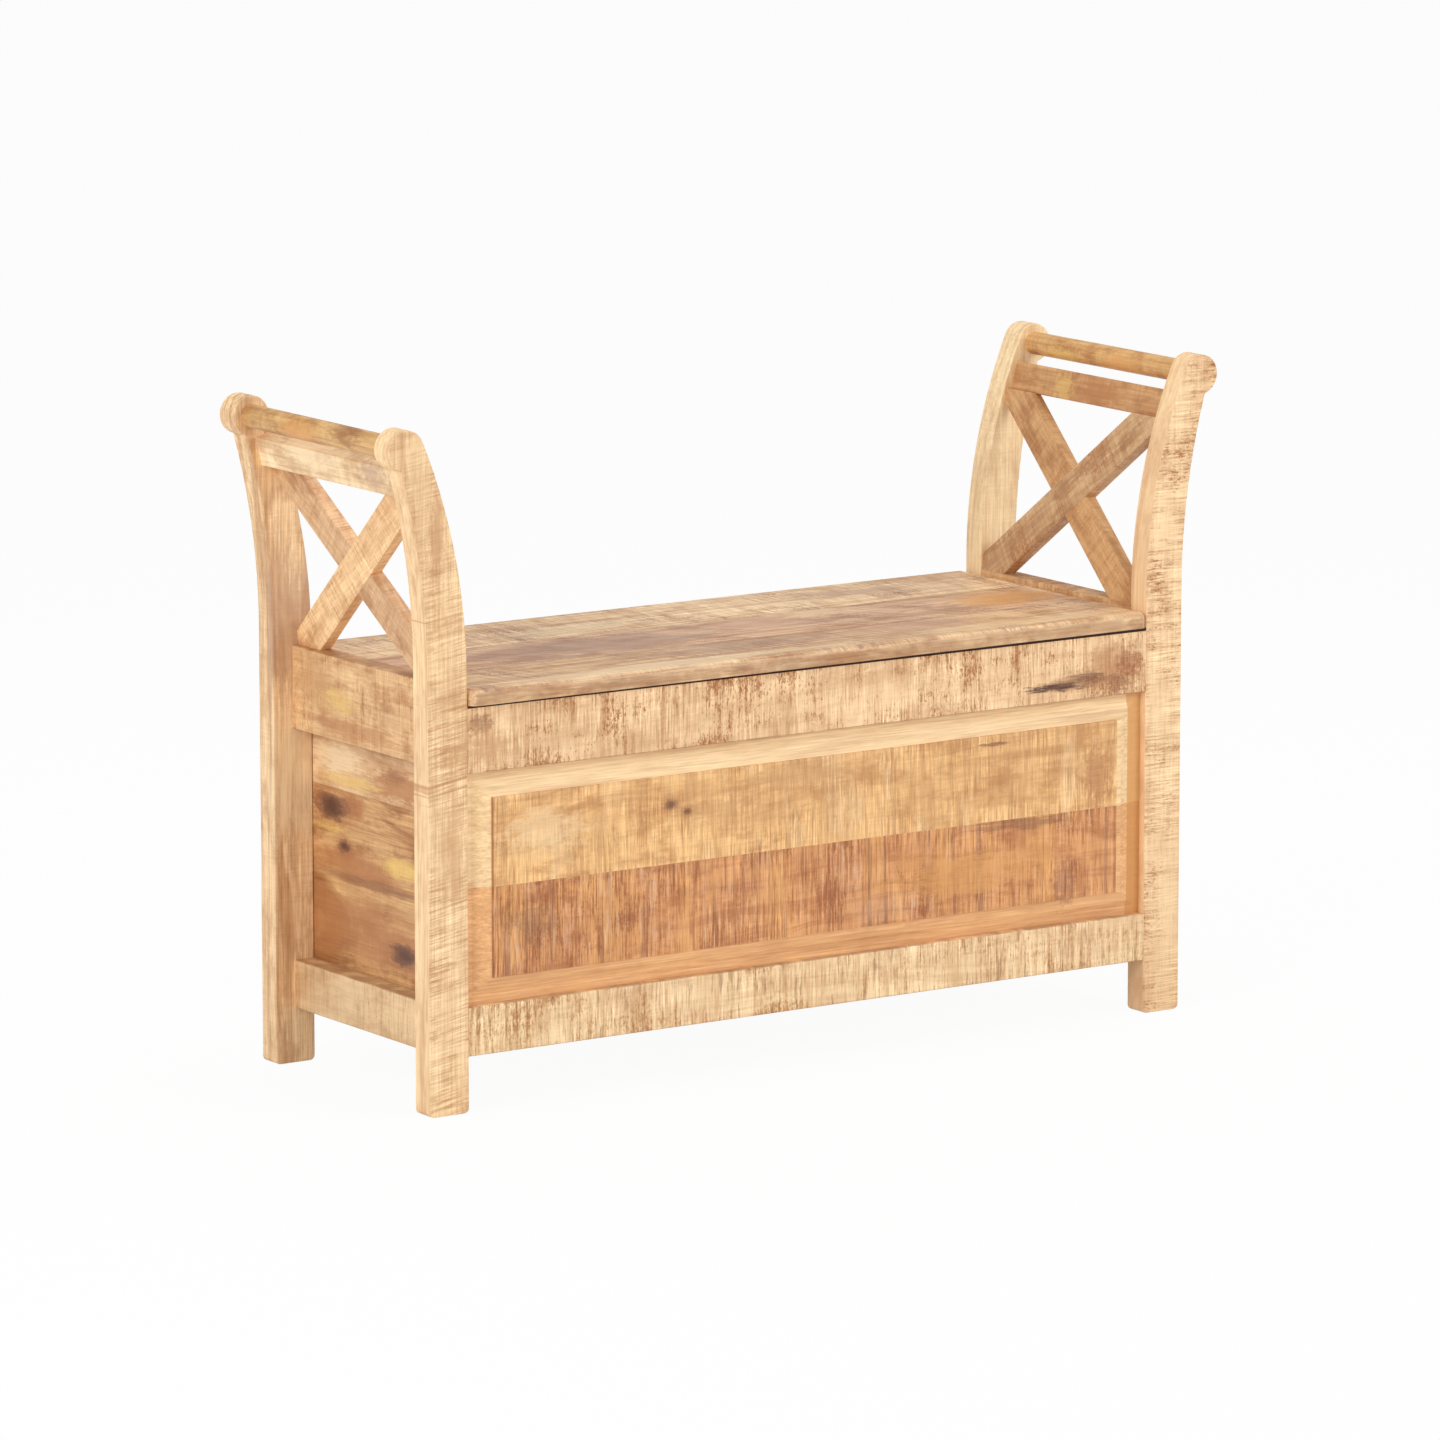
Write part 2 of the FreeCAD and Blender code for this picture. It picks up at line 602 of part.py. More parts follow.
WALL_DEPTH = "(%s - post_thick - %s)" % (REAR_Y, BOX_FRONT)
BACK_STRIP = "(%s - %s)" % (WALL_DEPTH, BOX_DEPTH)
WALL_BOARDS = (
    ("lower", "rail_base", "side_joint", "rail_base", RAIL_TOP),
    ("upper", "side_joint", "seat_base", TOP_RAIL_BASE, "seat_base"),
)
for right, end in ((True, "right"), (False, "left")):
    x = "%s - side_panel_thick" % INNER_X if right else "-(%s)" % INNER_X
    for title, low, top, notch_low, notch_top in WALL_BOARDS:
        name = "end_wall_%s_%s" % (end, title)
        board = box(name + "_board", ("side_panel_thick", WALL_DEPTH, "%s - %s" % (top, low)),
                    (x, BOX_FRONT, low))
        notch = box(name + "_notch",
                    ("side_panel_thick", BACK_STRIP, "%s - %s" % (notch_top, notch_low)),
                    (x, "%s + %s" % (BOX_FRONT, BOX_DEPTH), notch_low))
        node(name, cut(name + "_cut", board, [notch, end_wall_screws]))


# Front panel: raised field with bevels, glued from two boards

TUCK = "(groove_deep - groove_gap)"
panel_edge = box(
    "panel_edge",
    ("%s + 2 * %s" % (SPAN, TUCK), "tongue_thick",
     "%s - %s + 2 * %s" % (TOP_RAIL_BASE, RAIL_TOP, TUCK)),
    ("-(%s) - %s" % (INNER_X, TUCK), "%s + bevel_setback" % FRONT_Y, "%s - %s" % (RAIL_TOP, TUCK)))
raised = doc.addObject("Part::Wedge", "panel_raised")
bind(raised,
     Xmin="-(%s) + field_side" % INNER_X, Xmax="%s - field_side" % INNER_X,
     X2min="-(%s) + panel_border" % INNER_X, X2max="%s - panel_border" % INNER_X,
     Ymin="0", Ymax="bevel_setback - field_setback - field_step",
     Zmin="field_end", Zmax="%s - %s - field_end" % (TOP_RAIL_BASE, RAIL_TOP),
     Z2min="panel_border", Z2max="%s - %s - panel_border" % (TOP_RAIL_BASE, RAIL_TOP))
place(raised, ("0", "%s + field_setback + field_step" % FRONT_Y, RAIL_TOP))
field = box("panel_field",
            ("%s - 2 * field_side" % SPAN, "bevel_setback - field_setback",
             "%s - %s - 2 * field_end" % (TOP_RAIL_BASE, RAIL_TOP)),
            ("-(%s) + field_side" % INNER_X, "%s + field_setback" % FRONT_Y,
             "%s + field_end" % RAIL_TOP))
panel_blank = fuse("panel_blank", [panel_edge, raised, field])


def split_panel(blank, name, low, top, deep, y):
    """One board of a panel, between two heights."""
    window = box(name + "_window", ("%s + 2 * groove_deep" % SPAN, deep, "%s - (%s)" % (top, low)),
                 ("-(%s) - groove_deep" % INNER_X, y, low))
    return node(name, common(name + "_common", blank, window))


split_panel(panel_blank, "front_panel_lower", "%s - groove_deep" % RAIL_TOP, "front_joint",
            "rail_thick", FRONT_Y)
split_panel(panel_blank, "front_panel_upper", "front_joint", "%s + groove_deep" % TOP_RAIL_BASE,
            "rail_thick", FRONT_Y)

# Back panel: flat, glued from two boards
for title, low, top in (("lower", "%s - %s" % (RAIL_TOP, TUCK), "back_joint"),
                        ("upper", "back_joint", "%s + %s" % (TOP_RAIL_BASE, TUCK))):
    name = "back_panel_" + title
    board = box(name + "_board",
                ("%s + 2 * %s" % (SPAN, TUCK), "back_panel_thick", "%s - (%s)" % (top, low)),
                ("-(%s) - %s" % (INNER_X, TUCK),
                 "%s - tenon_edge - back_panel_thick" % BACK_RAIL_Y, low))
    node(name, board)


# Armrest ends: round rail, cross rail and crossed brace

def armrest(name, right):
    bar = rod(name + "_bar", "dowel_dia / 2", DEPTH_SPAN,
              (SCROLL_X, "-(%s)" % INNER_DEPTH, SCROLL_Z), ALONG_Y)
    tenon = rod(name + "_tenon", "dowel_tenon_dia / 2", "%s + 2 * dowel_tenon_long" % DEPTH_SPAN,
                (SCROLL_X, "-(%s) - dowel_tenon_long" % INNER_DEPTH, SCROLL_Z), ALONG_Y)
    end_place(fuse(name + "_whole", [bar, tenon]), name, right)


def cross_rail(name, right):
    bar = leaning_box(name + "_bar", "cross_thick", "cross_high", "cross_high / 2",
                      "-(%s)" % INNER_DEPTH, DEPTH_SPAN)
    eased = round_edges(name + "_eased", bar, "edge_round", runs_along(Y_AXIS))
    tenon = leaning_box(name + "_tenon", "cross_tenon_thick", "cross_tenon_high",
                        "cross_tenon_high / 2", "-(%s) - cross_tenon_long" % INNER_DEPTH,
                        "%s + 2 * cross_tenon_long" % DEPTH_SPAN)
    end_place(fuse(name + "_whole", [eased, tenon]), name, right)


BRACE_FOOT_X = "(%s + brace_inset)" % INNER_X
LEAN_TURN = FreeCAD.Rotation(Y_AXIS, number("brace_lean"))
BRACE_HIGH = "((%s - %s) / cos(brace_lean))" % (CROSS_TOP, APRON_TOP)


def brace_bar(name, falling, outer_half):
    """Bar across the end's opening, in its own leaning frame.

    A falling bar runs from the front top to the rear bottom. Where the bars
    cross, each gives up half its thickness: outer_half says which half goes.
    """
    mid_z = "(%s / 2 - cross_high / 2 + brace_rise)" % BRACE_HIGH
    long = "(2 * %s)" % DEPTH_SPAN

    def slanted(title, x, thick, slope):
        y = "-(%s) / 2 * cos(%s) + brace_wide / 2 * sin(%s)" % (long, slope, slope)
        z = "%s - (%s) / 2 * sin(%s) - brace_wide / 2 * cos(%s)" % (mid_z, long, slope, slope)
        turn = FreeCAD.Rotation(X_AXIS, number(slope))
        return box(title, (thick, long, "brace_wide"), (x, y, z), turn)

    own, other = ("-brace_slope", "brace_slope") if falling else ("brace_slope", "-brace_slope")
    bar = slanted(name + "_bar", "0", "brace_thick", own)
    lap = slanted(name + "_lap", "brace_thick / 2" if outer_half else "0", "brace_thick / 2", other)
    lapped = cut(name + "_lapped", bar, [lap])
    place(lapped, (BRACE_FOOT_X, "0", APRON_TOP), LEAN_TURN)
    room = box(name + "_room",
               ("4 * brace_thick + cross_high", DEPTH_SPAN, "%s - %s" % (CROSS_TOP, APRON_TOP)),
               ("%s - brace_thick" % INNER_X, "-(%s)" % INNER_DEPTH, APRON_TOP))
    fitted = common(name + "_fitted", lapped, room)
    # The bar ends under the cross rail and leaves it room
    top = leaning_box(name + "_top", "3 * cross_thick", "2 * cross_high", "cross_high / 2",
                      "-(%s)" % INNER_DEPTH, DEPTH_SPAN)
    return cut(name + "_trimmed", fitted, [top])


for right, end in ((True, "right"), (False, "left")):
    armrest("armrest_rail_" + end, right)
    cross_rail("cross_rail_" + end, right)
    # The bar that falls towards the back shows whole on the side that faces -X
    end_place(brace_bar("brace_falling_" + end, right, right), "brace_falling_" + end, right)
    end_place(brace_bar("brace_rising_" + end, not right, not right), "brace_rising_" + end, right)


# Seat: three boards, two battens, hung on two butt hinges

LID_BACK = "(%s - lid_back_gap)" % REAR_Y
LID_FRONT = "(%s - lid_nose)" % FRONT_Y
LID_LONG = "(%s - 2 * lid_end_gap)" % SPAN
LID_DEEP = "(%s - %s)" % (LID_BACK, LID_FRONT)
slab = box("lid_slab", (LID_LONG, LID_DEEP, "lid_thick"),
           ("-(%s) / 2" % LID_LONG, LID_FRONT, "seat_base"))


def front_edge(edge):
    """The seat's upper front edge."""
    flat = runs_along(X_AXIS)(edge)
    low_y = edge.BoundBox.YMax < number(LID_FRONT) + 1
    return flat and low_y and edge.BoundBox.ZMin > number("seat_base + lid_thick / 2")


def front_corner(edge):
    """The seat's two upright front corners."""
    return runs_along(Z_AXIS)(edge) and edge.BoundBox.YMax < number(LID_FRONT) + 1


cornered = round_edges("lid_cornered", slab, "corner_round", front_corner)
lid_blank = round_edges("lid_blank", cornered, "nose_round", front_edge)

BATTEN_X = "(%s - lid_end_gap - batten_inset)" % INNER_X
BATTEN_Y = "((%s + %s) / 2)" % (BOX_FRONT, BOX_BACK)
batten_spots = []
for sign in ("-", ""):
    for count in (-2, -1, 0, 1, 2):
        y = "%s + %d * batten_long / 5" % (BATTEN_Y, count)
        batten_spots.append(((sign + BATTEN_X, y, "seat_base - batten_thick"), POINT_UP))
batten_screws = screws("batten_screws", wood_screw, batten_spots)

lid_recess = [box("lid_recess_" + side, ("hinge_long", "leaf_wide", "leaf_thick"),
                  ("%s - hinge_long / 2" % middle, "%s - leaf_wide" % PIN_Y, "seat_base"))
              for side, middle in HINGES]
lid_recess += [barrel_room("lid_barrel_" + side, middle) for side, middle in HINGES]
lid_bored = cut("lid_bored", lid_blank, lid_recess + [hinge_lid_screws, batten_screws])

REAR_LINE = "(%s - rear_stave)" % LID_BACK
FRONT_LINE = "(%s + front_stave)" % LID_FRONT
for title, low, top in (("front", LID_FRONT, FRONT_LINE), ("middle", FRONT_LINE, REAR_LINE),
                        ("rear", REAR_LINE, LID_BACK)):
    window = box("lid_window_" + title, (LID_LONG, "%s - %s" % (top, low), "lid_thick"),
                 ("-(%s) / 2" % LID_LONG, low, "seat_base"))
    node("seat_board_" + title, common("seat_" + title, lid_bored, window))

for sign, end in (("-", "left"), ("", "right")):
    bar = box("batten_bar_" + end, ("batten_wide", "batten_long", "batten_thick"),
              ("%s%s - batten_wide / 2" % (sign, BATTEN_X), "%s - batten_long / 2" % BATTEN_Y,
               "seat_base - batten_thick"))
    eased = round_edges("batten_eased_" + end, bar, "edge_round",
                        lambda edge: edge.BoundBox.ZMax < number("seat_base - batten_thick / 2"))
    node("seat_batten_" + end, cut("batten_cut_" + end, eased, [batten_screws]))


def hinge(side, middle):
    """Butt hinge: a leaf on the back rail, a leaf under the seat, and their pin."""
    third = "(hinge_long / 3)"
    start = "%s - hinge_long / 2" % middle
    frame_leaf = box("frame_leaf_" + side, ("hinge_long", "leaf_thick", "leaf_wide"),
                     (start, "%s - leaf_thick" % BACK_RAIL_Y, "%s - leaf_wide" % PIN_Z))
    lid_leaf = box("lid_leaf_" + side, ("hinge_long", "leaf_wide", "leaf_thick"),
                   (start, "%s - leaf_wide" % PIN_Y, "seat_base"))
    outer = [rod("%s_knuckle_%d" % (side, count), "knuckle_dia / 2",
                 "%s - knuckle_gap / 2" % third,
                 ("%s + %d * %s + %d * knuckle_gap / 4" % (start, count, third, count),
                  PIN_Y, PIN_Z), ALONG_X)
             for count in (0, 2)]
    inner = rod("middle_knuckle_" + side, "knuckle_dia / 2", "%s - knuckle_gap" % third,
                ("%s + %s + knuckle_gap / 2" % (start, third), PIN_Y, PIN_Z), ALONG_X)

    def bore(name, radius):
        return rod(name + side, radius, "2 * hinge_long",
                   ("%s - hinge_long" % middle, PIN_Y, PIN_Z), ALONG_X)

    def clearance(name, x, long):
        return rod(name, "knuckle_dia / 2 + knuckle_gap", long, (x, PIN_Y, PIN_Z), ALONG_X)

    frame_clear = clearance("frame_clear_" + side, "%s + %s - knuckle_gap / 2" % (start, third),
                            "%s + knuckle_gap" % third)
    lid_clear = [clearance("lid_clear_%s_%d" % (side, count),
                           "%s + %d * %s - knuckle_gap / 2" % (start, count, third),
                           "%s + knuckle_gap" % third)
                 for count in (0, 2)]
    frame_plate = cut("frame_plate_" + side, frame_leaf, [frame_clear, hinge_frame_screws])
    lid_plate = cut("lid_plate_" + side, lid_leaf, lid_clear + [hinge_lid_screws])
    frame_whole = fuse("frame_hinge_" + side, [frame_plate] + outer)
    lid_whole = fuse("lid_hinge_" + side, [lid_plate, inner])
    node("hinge_frame_leaf_" + side,
         cut("frame_hinge_bored_" + side, frame_whole, [bore("frame_bore_", "pin_dia / 2")]))
    node("hinge_lid_leaf_" + side,
         cut("lid_hinge_bored_" + side, lid_whole, [bore("lid_bore_", "pin_dia / 2 + pin_play")]))
    pin = rod("pin_" + side, "pin_dia / 2", "hinge_long", (start, PIN_Y, PIN_Z), ALONG_X)
    node("hinge_pin_" + side, pin)


for side, middle in HINGES:
    hinge(side, middle)

doc.recompute()

# Every object must have been built, and every piece must be a sound solid
for thing in doc.Objects:
    if "Invalid" in thing.State or "Error" in thing.State:
        raise RuntimeError("%s failed to build: %s" % (thing.Label, thing.State))
for piece in NODES:
    if piece.Shape.isNull() or not piece.Shape.isValid() or not piece.Shape.Solids:
        raise RuntimeError("%s is not a sound solid" % piece.Label)

os.makedirs("parts", exist_ok=True)
for piece in NODES:
    piece.Shape.exportStep(os.path.join("parts", piece.Label + ".step"))
print("%d nodes" % len(NODES))
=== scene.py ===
import math

import bpy
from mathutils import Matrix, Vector


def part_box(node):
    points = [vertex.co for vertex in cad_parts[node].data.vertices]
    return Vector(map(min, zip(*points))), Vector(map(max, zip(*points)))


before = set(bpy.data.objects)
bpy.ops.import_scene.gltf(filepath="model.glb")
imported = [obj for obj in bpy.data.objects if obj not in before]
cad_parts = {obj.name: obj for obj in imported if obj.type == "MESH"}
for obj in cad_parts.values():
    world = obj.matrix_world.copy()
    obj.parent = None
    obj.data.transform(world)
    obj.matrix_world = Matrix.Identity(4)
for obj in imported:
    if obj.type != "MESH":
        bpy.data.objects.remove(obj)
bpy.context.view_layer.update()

# Settle bench in rough-sawn mango wood. X runs along the bench, the front faces -Y, Z is up.
# All lengths are metres. Places are the bench's own, the same as in the CAD.


# Shader maths

WHITE = (1, 1, 1, 1)
# Sockets of a mix node that blends colours
MIX_FACTOR, MIX_LOW, MIX_HIGH, MIX_RESULT = 0, 6, 7, 2
# How much of a shade red and blue take on
RED_FALL = 0.72
BLUE_FALL = 1.2


class Signal:
    """A shader value that can be used in arithmetic."""

    def __init__(self, finish, socket):
        self.finish = finish
        self.socket = socket

    def math(self, operation, *terms):
        return self.finish.add("ShaderNodeMath", {"operation": operation}, dict(enumerate(terms)))

    def __add__(self, other):
        return self.math("ADD", self, other)

    def __sub__(self, other):
        return self.math("SUBTRACT", self, other)

    def __rsub__(self, other):
        return self.math("SUBTRACT", other, self)

    def __mul__(self, other):
        return self.math("MULTIPLY", self, other)

    def __truediv__(self, other):
        return self.math("DIVIDE", self, other)

    __radd__ = __add__

    def step(self, low, high):
        """0 below low, 1 above high, smooth between."""
        return self.finish.add(
            "ShaderNodeMapRange", {"interpolation_type": "SMOOTHSTEP"},
            {"Value": self, "From Min": low, "From Max": high})

    def root(self):
        return self.math("SQRT", self)

    def clamp(self):
        return self.finish.add("ShaderNodeClamp", {}, {"Value": self})


class Finish:
    """A material and its sheet of nodes."""

    def __init__(self, name, roughness):
        self.material = bpy.data.materials.new(name)
        self.material.use_nodes = True
        self.nodes = self.material.node_tree.nodes
        self.links = self.material.node_tree.links
        self.shader = self.nodes["Principled BSDF"]
        self.shader.inputs["Roughness"].default_value = roughness

    def add(self, kind, settings, inputs, output=0):
        """Add a node. Its settings come first, then the values or links of its sockets."""
        node = self.nodes.new(kind)
        for key, value in settings.items():
            setattr(node, key, value)
        for key, value in inputs.items():
            self.feed(node.inputs[key], value)
        return Signal(self, node.outputs[output])

    def feed(self, socket, value):
        """Link a signal to a socket, or set its constant."""
        if isinstance(value, Signal):
            self.links.new(value.socket, socket)
        else:
            socket.default_value = value

    def mix(self, low, high, factor, way="MIX"):
        """Blend two colours."""
        return self.add("ShaderNodeMix", {"data_type": "RGBA", "blend_type": way},
                        {MIX_FACTOR: factor, MIX_LOW: low, MIX_HIGH: high}, output=MIX_RESULT)

    def tint(self, colour, shade):
        """Shade a colour. The darker it gets, the warmer, as wood does."""
        warm = self.add("ShaderNodeCombineColor", {}, {
            0: shade * RED_FALL + (1 - RED_FALL), 1: shade,
            2: shade * BLUE_FALL - (BLUE_FALL - 1)})
        return self.mix(colour, warm, 1.0, "MULTIPLY")

    def cloud(self, spot, detail, roughness):
        """Noise at a spot, about 0.5 on average."""
        return self.add("ShaderNodeTexNoise", {}, {
            "Vector": spot, "Scale": 1.0, "Detail": detail, "Roughness": roughness})

    def paint(self, **inputs):
        """Feed the shader's own sockets, with spaces in their names written as underscores."""
        for key, value in inputs.items():
            self.feed(self.shader.inputs[key.replace("_", " ")], value)


def colour(red, green, blue):
    """A colour as it looks on a screen, 0 to 255, made linear."""
    def linear(level):
        level /= 255
        return level / 12.92 if level <= 0.04045 else ((level + 0.055) / 1.055) ** 2.4
    return (linear(red), linear(green), linear(blue), 1.0)


# Wood

# A painted edge fades over this length.
SHARP = 0.0004
# A face looks the way of an axis where its normal has this share of it.
FACING = (0.4, 0.6)
# An edge line starts and ends this far in from the board's edge.
EDGE_START = 0.0003
EDGE_END = 0.0014
# The growth rings' middle leans from the board by this slope.
PITH_TILT = 0.03
# Each board's seed moves its pattern by these steps.
SEED_ALONG = 7.31
SEED_ACROSS = 3.17
SEED_RINGS = 5.3
WOOD_BUMP = {"Strength": 0.35, "Distance": 0.0005}
METAL_BUMP = {"Strength": 0.2, "Distance": 0.0001}
# Pale wood is lighter than the middle tone by these shares of red, green and blue, deep wood
# darker by those.
PALE_RISE = (0.05, 0.065, 0.07)
DEEP_DROP = (0.15, 0.24, 0.32)

HONEY = colour(247, 212, 164)
CREAM = colour(252, 226, 184)
TAN = colour(216, 170, 118)
BISCUIT = colour(204, 152, 100)
RUST = colour(186, 124, 76)
UMBER = colour(150, 98, 62)
MAUVE = colour(186, 148, 122)
ROSE = colour(214, 168, 138)
BARK = colour(92, 54, 38)
GREY_BROWN = colour(128, 100, 84)
KNOT_BROWN = colour(122, 80, 56)
YELLOW = colour(240, 200, 116)
DUSK = colour(172, 136, 118)
AMBER = colour(226, 164, 96)
EMBER = colour(166, 100, 62)
FAWN = colour(224, 182, 150)
PLUM = colour(142, 88, 66)
SHADOW = colour(52, 26, 14)


def shades(red, green, blue, spread=1.0):
    """A pale, a middle and a deep tone of one wood."""
    pale = [min(level * (1 + rise * spread), 255) for level, rise in
            zip((red, green, blue), PALE_RISE)]
    deep = [level * (1 - drop * spread) for level, drop in
            zip((red, green, blue), DEEP_DROP)]
    return colour(*pale), colour(red, green, blue), colour(*deep)


class Plank(Finish):
    """Wood whose pattern follows its own grain.

    order names the axes along the grain, across the face and through the board.
    """

    def __init__(self, name, order, seed, turn=None, roughness=0.5):
        super().__init__(name, roughness)
        self.roughness = roughness
        spot = self.add("ShaderNodeTexCoord", {}, {}, output="Object")
        if turn is not None:
            axis, angle = turn
            spot = self.add("ShaderNodeVectorRotate", {"rotation_type": axis + "_AXIS"},
                            {"Vector": spot, "Angle": math.radians(angle)})
        split = self.add("ShaderNodeSeparateXYZ", {}, {"Vector": spot})
        axes = dict(zip("xyz", split.socket.node.outputs))
        self.along, self.across, self.through = [Signal(self, axes[axis]) for axis in order]
        self.grain = self.add("ShaderNodeCombineXYZ", {},
                              {0: self.along, 1: self.across, 2: self.through})
        self.seed = seed
        self.cuts = 0.0
        self.slant = 0.0
        self.fibre = None

    def noise(self, along, across, detail, roughness, shift=0.0):
        """Noise with so many features per metre along and across the grain.

        shift sets it apart from the board's other noises.
        """
        start = (self.seed * SEED_ALONG + shift, self.seed * SEED_ACROSS, shift)
        spot = self.add("ShaderNodeVectorMath", {"operation": "MULTIPLY_ADD"},
                        {0: self.grain, 1: (along, across, across), 2: start})
        return self.cloud(spot, detail, roughness)

    def strokes(self, slant, along, across, detail, roughness, shift):
        """Strokes square to the grain, or at a slant to that."""
        spot = self.add("ShaderNodeCombineXYZ", {}, {
            0: (self.along + self.across * slant) * along + shift,
            1: self.across * across + self.seed * SEED_ACROSS, 2: self.through * across})
        return self.cloud(spot, detail, roughness)

    def distance(self, along, across, long, wide):
        """Distance from a spot on the face, 1 at an ellipse of those half sizes."""
        u = (self.along - along) / long
        v = (self.across - across) / wide
        return (u * u + v * v).root()

    def facing(self, axis):
        """1 on faces that look the way of an axis, such as "-y"."""
        normal = self.add("ShaderNodeTexCoord", {}, {}, output="Normal")
        split = self.add("ShaderNodeSeparateXYZ", {}, {"Vector": normal})
        part = Signal(self, split.socket.node.outputs["XYZ".index(axis[-1].upper())])
        return (part * (-1.0 if axis[0] == "-" else 1.0)).step(*FACING)

    def inside(self, level, low, high):
        """1 where a level lies between two limits."""
        above = level.step(low - SHARP, low + SHARP)
        return above * (1 - level.step(high - SHARP, high + SHARP))

    def blend(self, tone, amount):
        """Blend a tone into the wood."""
        self.body = self.mix(self.body, tone, amount.clamp())

    def shade(self, amount):
        """Darken the wood, or lighten it above 1."""
        self.body = self.tint(self.body, amount)

    def figure(self, pale, middle, deep, pith=(0.0, 0.06), ring_pitch=0.009, rings=0.4,
               mottle=0.5, threads=1.0, waves=1.0):
        """Growth rings, patches and fibres in three tones."""
        wander = self.noise(1.8, 6, 3, 0.6) - 0.5
        off_across = self.across - pith[0] + wander * (0.06 * waves)
        off_through = self.through - pith[1] + self.along * PITH_TILT
        radius = (off_across * off_across + off_through * off_through).root()
        line = self.add("ShaderNodeCombineXYZ", {}, {
            0: radius / ring_pitch, 1: self.along * 2.5, 2: self.seed * SEED_RINGS})
        ring = self.cloud(line, 4.0, 0.65)
        patch = self.noise(4, 15, 5, 0.62, 5.0)
        blotch = self.noise(17, 36, 5, 0.66, 49.0)
        self.body = self.mix(pale, middle, patch.step(0.36, 0.64))
        self.blend(deep, ring.step(0.46, 0.64) * rings)
        self.blend(deep, blotch.step(0.45, 0.66) * mottle)
        thread = self.noise(6, 260, 3, 0.7, 13.0)
        self.fibre = self.noise(26, 640, 3, 0.65, 17.0)
        self.shade(1 + (thread - 0.5) * (0.55 * threads) + (self.fibre - 0.5) * (0.4 * threads))

    def sawn(self, tone, marks=0.0, specks=0.0, mark=RUST, dark=UMBER, light=None, slant=0.0,
             cover=1.0):
        """Saw marks square to the grain: fine strokes, dark strokes in groups, and specks."""
        self.slant = slant
        fine = self.strokes(slant, 430, 18, 3.0, 0.75, 21.0)
        broad = self.strokes(slant, 110, 11, 3.0, 0.72, 25.0)
        wide = self.strokes(slant, 20, 5, 4.0, 0.65, 29.0)
        crumbs = self.noise(430, 190, 4, 0.78, 33.0)
        group = self.noise(12, 20, 5, 0.66, 37.0)
        rough = self.noise(15, 28, 3, 0.6, 57.0).step(0.4, 0.62)
        shade = (fine - 0.5) * (0.7 + rough * 1.8) + (broad - 0.5) * 0.8 + (wide - 0.5) * 0.5
        self.shade(1 - shade * (cover * tone))
        level = fine * 0.6 + broad * 0.5 + crumbs * 0.45 + group * 0.65 + wide * 0.25
        stroke = level.step(1.24, 1.44)
        speck = (crumbs + group * 0.6 + (broad + wide) * 0.25).step(1.08, 1.27)
        if light is not None:
            torn = (1 - (fine + broad).step(0.82, 0.95)) * (0.2 + group.step(0.46, 0.62))
            self.blend(light, torn * cover * 0.6)
        hair = self.strokes(slant, 900, 9, 2.0, 0.6, 65.0).step(0.54, 0.68)
        hair = hair * wide.step(0.46, 0.6)
        self.blend(mark, (stroke * marks + speck * specks + hair * (tone * 0.45)) * cover)
        self.blend(dark, level.step(1.34, 1.52) * (marks * 0.9) * cover)
        self.cuts = (stroke * marks + speck * specks + (fine - 0.5) * tone) * cover

    def stain(self, tone, strength, along, across, long, wide, ragged=3.2):
        """A patch of another tone, the more ragged its edge the larger that number."""
        edge = self.noise(2.2 / long, 2.2 / wide, 6, 0.8, 41.0 + along * 10) - 0.5
        near = 1 - (self.distance(along, across, long, wide) + edge * ragged).step(0.4, 1.1)
        self.blend(tone, near * (self.fibre * 1.2 + 0.4) * strength)

    def knot(self, along, across, long, wide, strength=0.9):
        """A dark knot with a ragged rim and rings round it."""
        ragged = self.noise(1.6 / long, 1.6 / wide, 5, 0.72, 43.0 + along * 10) - 0.5
        far = self.distance(along, across, long, wide) + ragged * 1.6
        ring = far.math("PINGPONG", far * 2.6, 0.5)
        halo = 1 - far.step(0.9, 2.3)
        self.blend(EMBER, halo * (0.35 + ring * 0.9) * strength)
        self.blend(KNOT_BROWN, (1 - far.step(0.6, 1.25)) * strength)
        self.blend(BARK, (1 - far.step(0.15, 0.85)) * strength)

    def bands(self, tone, strength, pitch, tall, low=0.5, high=0.66):
        """Long bands square to the grain, so many to a metre."""
        band = self.strokes(self.slant, pitch, tall, 3.0, 0.6, 61.0 + pitch)
        self.blend(tone, band.step(low, high) * strength)

    def edge_lines(self, low, high, strength):
        """A broken dark line along both edges of the board: painted shade where it meets its
        neighbours.
        """
        line_breaks = self.noise(30, 30, 3, 0.6, 53.0).step(0.3, 0.6)
        bottom = 1 - self.across.step(low + EDGE_START, low + EDGE_END)
        top = self.across.step(high - EDGE_END, high - EDGE_START)
        self.blend(UMBER, (bottom + top) * line_breaks * strength)

    def done(self):
        """Feed the shader. Cuts lie deep and are rough, and fibres stand up."""
        relief = 1 - self.cuts + self.fibre * 0.3
        bump = self.add("ShaderNodeBump", {}, {**WOOD_BUMP, "Height": relief})
        self.paint(Base_Color=self.body, Normal=bump,
                   Roughness=self.roughness + self.cuts * 0.3 + (self.fibre - 0.5) * 0.2)
        return self.material


def metal(name, tone, roughness):
    """Brushed metal with a little tarnish."""
    plate = Plank(name, "xyz", 1.0)
    plate.paint(Metallic=1.0)
    dull = plate.noise(60, 60, 4, 0.6)
    hair = plate.noise(60, 2200, 2, 0.5, shift=3.0)
    body = plate.mix(tone, GREY_BROWN, dull.step(0.5, 0.8) * 0.35)
    bump = plate.add("ShaderNodeBump", {}, {**METAL_BUMP, "Height": hair})
    plate.paint(Base_Color=body, Normal=bump, Roughness=roughness + dull * 0.25)
    return plate.material


